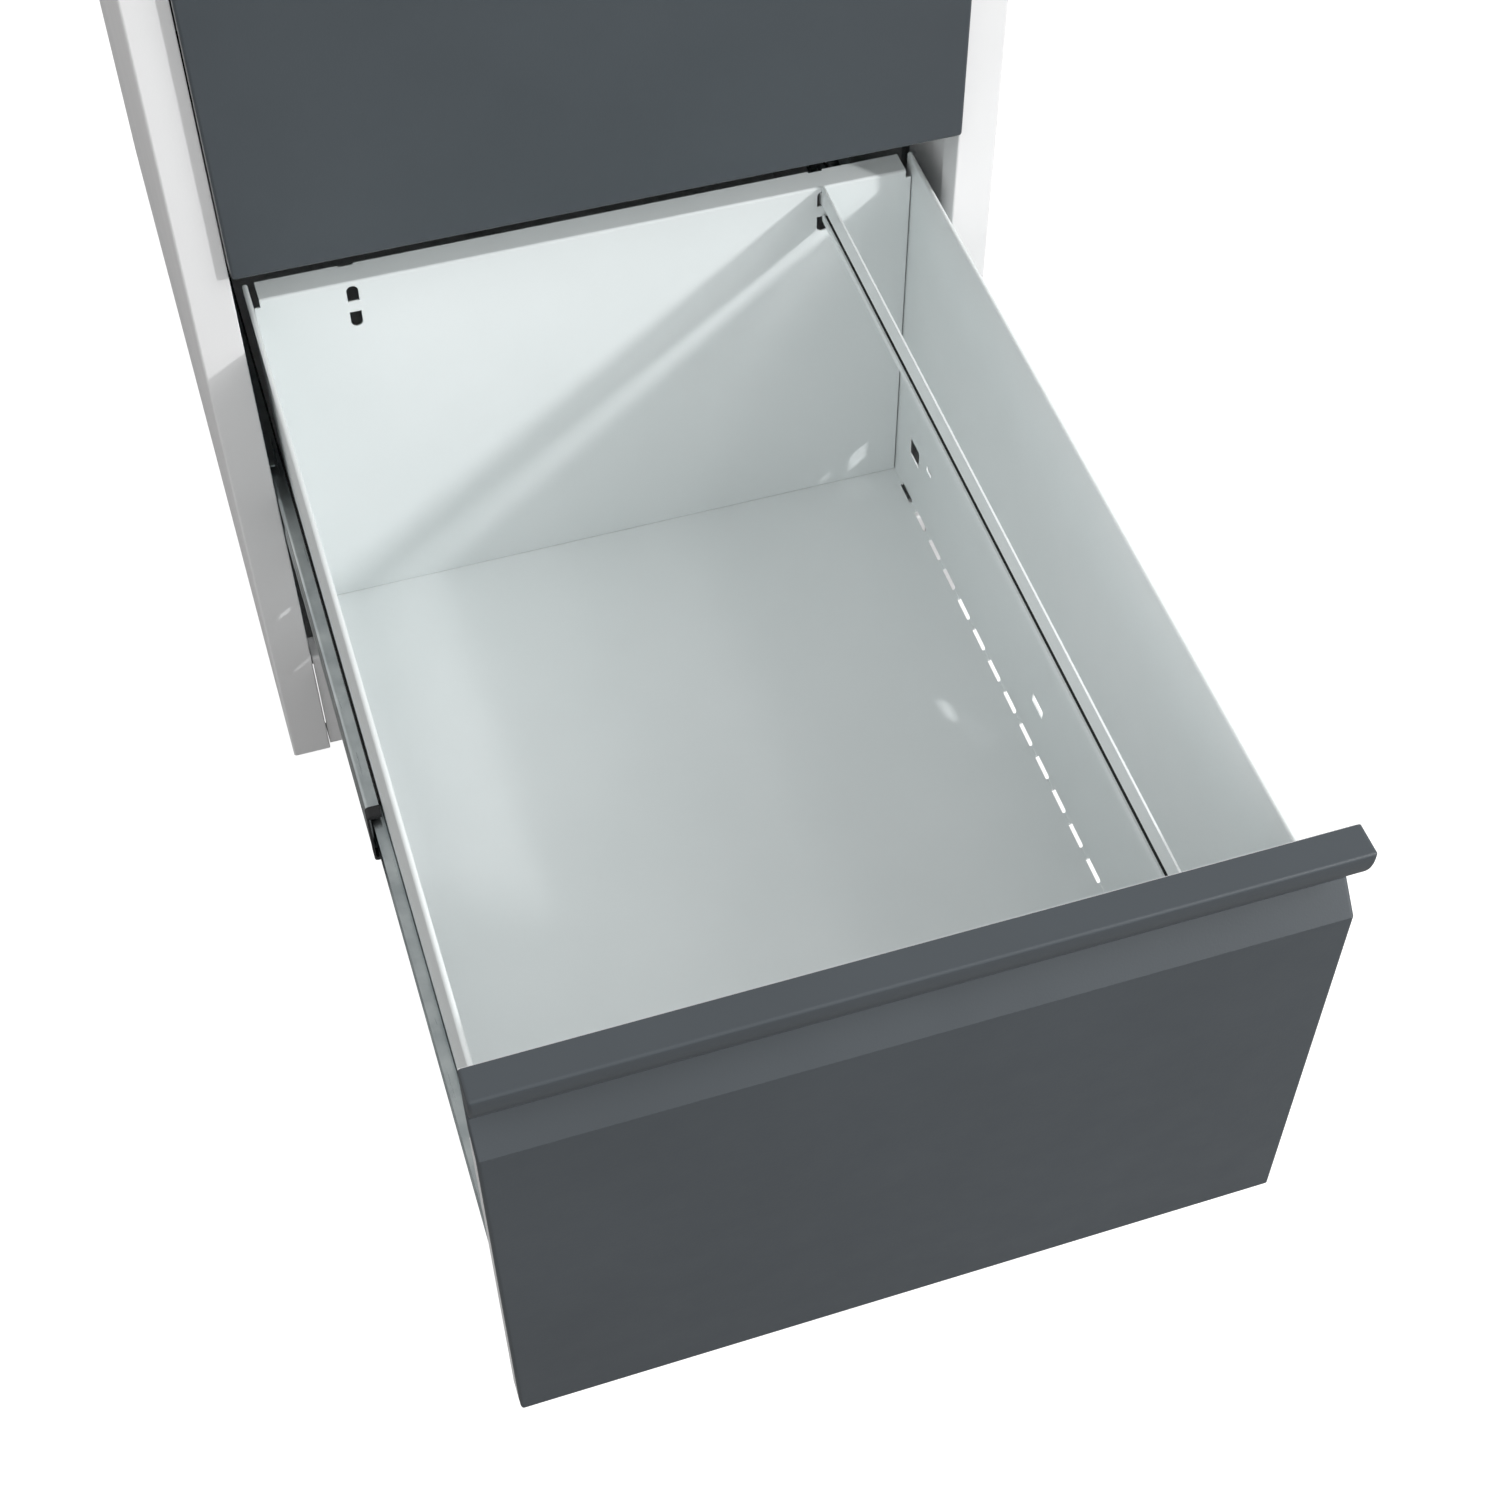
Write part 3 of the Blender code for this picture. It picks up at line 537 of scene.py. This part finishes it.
def ball_retainer(side, y0, y1, shift):
    """A toothed black strip in the gap beside the drawer: a saw line of 4 mm pitch carried in X."""
    count = int((y1 - y0) / 0.002)
    y = np.linspace(y0, y1, count)
    z = 0.0150 + 0.0009 * (np.arange(count) % 2)
    line = np.concatenate((np.stack((y, z), axis=1), np.stack((y[::-1], np.full(count, 0.0125)), axis=1)))
    x0, x1 = sorted((side * (SLIDE_X + 0.0002), side * (SLIDE_X + 0.0011)))
    return moved(extruded(line, "X", x0, x1), shift)


def button_screw(centre, axis, out, radius=0.0035):
    """Domed head with a round socket, turned about axis and facing along out."""
    profile = np.array([(0.0, 0.0002), (0.40, 0.0002), (0.42, 0.50), (0.62, 0.46), (0.85, 0.28),
                        (1.0, 0.05), (1.0, 0.0), (0.0, 0.0)]) * radius
    profile[:, 1] *= out
    return turned(profile, axis, centre, 24)


def build_drawer(prefix):
    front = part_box(f"{prefix}_front_skin")
    shift = np.array((0.0, front[0].y + NOSE_PROUD, front[0].z))
    body = f"{prefix}_drawer"
    skin = mesh_of(f"{prefix}_front", [moved(front_solid(), shift)])
    dress(skin, "slate", body, [f"{prefix}_front_skin"])
    tray = slotted_tray(shift)
    tray.name = f"{prefix}_slotted_tray"
    dress(tray, "white", body, [f"{prefix}_tray"])
    back = back_panel(shift)
    back.name = f"{prefix}_back_panel"
    dress(back, "white", body, [f"{prefix}_tray_back"])
    bar = file_bar(shift)
    bar.name = f"{prefix}_file_bar"
    dress(bar, "white", body, [f"{prefix}_hanging_bar"], soften=0.0002)
    # Painted shade: a black strip laid in the bar's channel to stand for the shadow inside it.
    strip = box_part((BAR_X + BAR_LIP + 0.0001, TRAY_Y0 + 0.001, BAR_FOOT + BAR_T + 0.0001),
                     (BAR_X + BAR_BACK - 0.0001, BACK_Y - 0.001, BAR_LIP_TOP - 0.0008))
    dress(mesh_of(f"{prefix}_bar_painted_shade_strip", [moved(strip, shift)]), "black", body, soften=0.0002)
    screws = [button_screw((x, LINER_Y + 0.0008 + shift[1], z + shift[2]), "Y", 1)
              for x in (-0.15, 0.15) for z in (0.040, 0.180)]
    dress(mesh_of(f"{prefix}_front_screws", screws), "zinc", body)
    build_slides(prefix, shift)


def build_slides(prefix, shift):
    level = (0, 0, shift[2] + SLIDE_Z)
    for side, hand in ((-1, "left"), (1, "right")):
        for member, body, web, lip, half, thickness, bead in (
                ("inner", f"{prefix}_drawer", 0.0, 0.0060, 0.0125, 0.0010, 0.0006),
                ("middle", f"{prefix}_slide_middles", 0.0083, 0.0013, 0.0175, 0.0010, 0.0008),
                ("outer", "casing", 0.0127, 0.0052, 0.0226, 0.0012, 0.0008)):
            node = f"{prefix}_{hand}_slide_{member}"
            low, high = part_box(node)
            section = slide_section(side, web, lip, half, thickness, bead)
            part = moved(extruded(section, "Y", low.y, high.y), level)
            rail = mesh_of(f"{prefix}_{hand}_{member}_rail", [part])
            dress(rail, "zinc", body, [node])
        low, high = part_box(f"{prefix}_{hand}_slide_middle")
        teeth = ball_retainer(side, low.y + 0.004, high.y - 0.02, level)
        strip = mesh_of(f"{prefix}_{hand}_ball_retainer", [teeth])
        dress(strip, "black", f"{prefix}_slide_middles")


# Casing pieces --------------------------------------------------------------------------------

def build_casing():
    back_y = BACK_END_Y - SHEET - 0.0003
    left = np.array([(-HALF_W + 0.014, back_y), (-HALF_W, back_y), (-HALF_W, FACE_Y), (-STILE_INNER, FACE_Y),
                     (-STILE_INNER, FACE_Y + 0.018)])
    for side, hand in ((-1, "left"), (1, "right")):
        corners = mirrored(left, side)
        radii = [0.002, 0.0014, 0.0010]
        path = fillet(corners, radii if side < 0 else radii[::-1], 8)
        low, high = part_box(f"casing_{hand}_side")
        panel = mesh_of(f"{hand}_side_panel", [extruded(folded(path, SHEET), "Z", low.z, high.z)])
        dress(panel, "casing", "casing", [f"casing_{hand}_side"], soften=0.0003)
    lid_low, lid_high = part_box("casing_lid")
    centre = (lid_low + lid_high) / 2
    half_x, half_y = (lid_high.x - lid_low.x) / 2, (lid_high.y - lid_low.y) / 2
    bend = 0.0026
    a = np.radians(np.linspace(0, 90, 9))
    insets = np.concatenate(((0.001, 0.001, 0.0), bend * (1 - np.cos(a))))
    tall = lid_high.z - lid_low.z
    heights = np.concatenate(((lid_high.z - 0.001 - lid_low.z, 0.0, 0.0), tall - bend + bend * np.sin(a)))
    plans = [rounded_rectangle(half_x - i, half_y - i, max(0.004 - i, 0.0012)) for i in insets]
    rings = np.stack([np.column_stack((plan + (centre.x, centre.y), np.full(len(plan), lid_low.z + z)))
                      for plan, z in zip(plans, heights)])
    lid = mesh_of("lid", [loft(rings)])
    dress(lid, "casing", "casing", ["casing_lid"])
    rail_low, rail_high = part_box("base_front_rail")
    corners = [(rail_high.y, rail_high.z), (rail_low.y, rail_high.z), (rail_low.y, rail_low.z),
               (rail_high.y, rail_low.z)]
    rail = folded(fillet(corners, [0.0015, 0.0015], 6), SHEET)
    base_rail = mesh_of("base_rail", [extruded(rail, "X", rail_low.x, rail_high.x)])
    dress(base_rail, "casing", "casing", ["base_front_rail"], soften=0.0002)


def paint_carried_over():
    """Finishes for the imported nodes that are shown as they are."""
    slots = {row["node"]: row["material_slot"] for row in frame["record"]["subparts"]}
    by_slot = {slot: material for material, slot in FINISHES.values()}
    by_slot["white_powder_coat"] = FINISHES["casing"][0]
    for name, node in frame["nodes"].items():
        node.data.materials.clear()
        node.data.materials.append(by_slot[slots[name]])


# Stage ----------------------------------------------------------------------------------------

def build_stage():
    side = 30.0
    corners = np.array([(-side, -side, 0), (side, -side, 0), (side, side, 0), (-side, side, 0)])
    floor = mesh_of("floor", [(corners, [[0, 1, 2, 3]])])
    material, tree, shader = new_finish("pale_floor", 0.9, 0.0)
    shader.inputs["Base Color"].default_value = (0.25, 0.245, 0.24, 1)
    glow = tree.nodes.new("ShaderNodeEmission")
    glow.inputs["Strength"].default_value = FLOOR_GLOW
    seen = tree.nodes.new("ShaderNodeLightPath")
    both = tree.nodes.new("ShaderNodeAddShader")
    mix = tree.nodes.new("ShaderNodeMixShader")
    output = tree.nodes["Material Output"]
    tree.links.new(shader.outputs["BSDF"], both.inputs[0])
    tree.links.new(glow.outputs["Emission"], both.inputs[1])
    tree.links.new(seen.outputs["Is Camera Ray"], mix.inputs["Fac"])
    tree.links.new(shader.outputs["BSDF"], mix.inputs[1])
    tree.links.new(both.outputs["Shader"], mix.inputs[2])
    tree.links.new(mix.outputs["Shader"], output.inputs["Surface"])
    floor.data.materials.append(material)


def aim(obj, target):
    obj.rotation_mode = "QUATERNION"
    obj.rotation_quaternion = (Vector(target) - obj.location).to_track_quat("-Z", "Y")


def area_light(name, way, far, size, power, target):
    """A round soft light far along way from the target, facing it."""
    data = bpy.data.lights.new(name, "AREA")
    data.shape = "ELLIPSE"
    data.size = data.size_y = size
    data.energy = power
    light = bpy.data.objects.new(name, data)
    light.location = target + Vector(way).normalized() * far
    aim(light, target)
    bpy.context.scene.collection.objects.link(light)


def build_light():
    scene = bpy.context.scene
    world = bpy.data.worlds.new("studio")
    world.use_nodes = True
    tree = world.node_tree
    tree.nodes.clear()
    room = tree.nodes.new("ShaderNodeBackground")
    room.inputs["Color"].default_value = (1.0, 0.997, 0.995, 1)
    way = tree.nodes.new("ShaderNodeTexCoord")
    parts = tree.nodes.new("ShaderNodeSeparateXYZ")
    height = tree.nodes.new("ShaderNodeMapRange")
    height.inputs["To Min"].default_value = ROOM_LEVEL
    height.inputs["To Max"].default_value = ROOM_OVERHEAD
    tree.links.new(way.outputs["Generated"], parts.inputs["Vector"])
    tree.links.new(parts.outputs["Z"], height.inputs["Value"])
    tree.links.new(height.outputs["Result"], room.inputs["Strength"])
    backdrop = tree.nodes.new("ShaderNodeBackground")
    backdrop.inputs["Strength"].default_value = 1.0
    backdrop.inputs["Color"].default_value = (1, 1, 1, 1)
    seen = tree.nodes.new("ShaderNodeLightPath")
    mix = tree.nodes.new("ShaderNodeMixShader")
    output = tree.nodes.new("ShaderNodeOutputWorld")
    tree.links.new(seen.outputs["Is Camera Ray"], mix.inputs["Fac"])
    tree.links.new(room.outputs["Background"], mix.inputs[1])
    tree.links.new(backdrop.outputs["Background"], mix.inputs[2])
    tree.links.new(mix.outputs["Shader"], output.inputs["Surface"])
    scene.world = world
    target = Vector((0.0, FACE_Y - 0.05, 0.25))
    area_light("key", KEY_WAY, KEY_FAR, KEY_SIZE, KEY_WATTS, target)
    area_light("bank", BANK_WAY, BANK_FAR, BANK_SIZE, BANK_WATTS, target)
    area_light("fill", FILL_WAY, FILL_FAR, FILL_SIZE, FILL_WATTS, target)
    scene.view_settings.view_transform = "Standard"
    scene.view_settings.look = "None"


def build_camera():
    """The lens stands 0.97 m before the casing's face and looks down at 52 degrees."""
    data = bpy.data.cameras.new("camera")
    data.sensor_width = 36.0
    data.lens = LENS_MM
    data.shift_x, data.shift_y = LENS_SHIFT
    data.clip_start = 0.01
    camera = bpy.data.objects.new("camera", data)
    right = Vector((0.9472, -0.3200, 0.0200)).normalized()
    back = Vector((-0.2137, -0.5834, 0.7836)).normalized()
    up = back.cross(right).normalized()
    right = up.cross(back).normalized()
    turn = Matrix((right, up, back)).transposed()
    camera.rotation_mode = "QUATERNION"
    camera.rotation_quaternion = turn.to_quaternion()
    camera.location = (LENS_X, FACE_Y - LENS_BEFORE_FACE, LENS_Z)
    bpy.context.scene.collection.objects.link(camera)
    bpy.context.scene.camera = camera


paint_carried_over()
for drawer in ("lower", "upper"):
    build_drawer(drawer)
build_casing()
build_stage()
build_light()
build_camera()
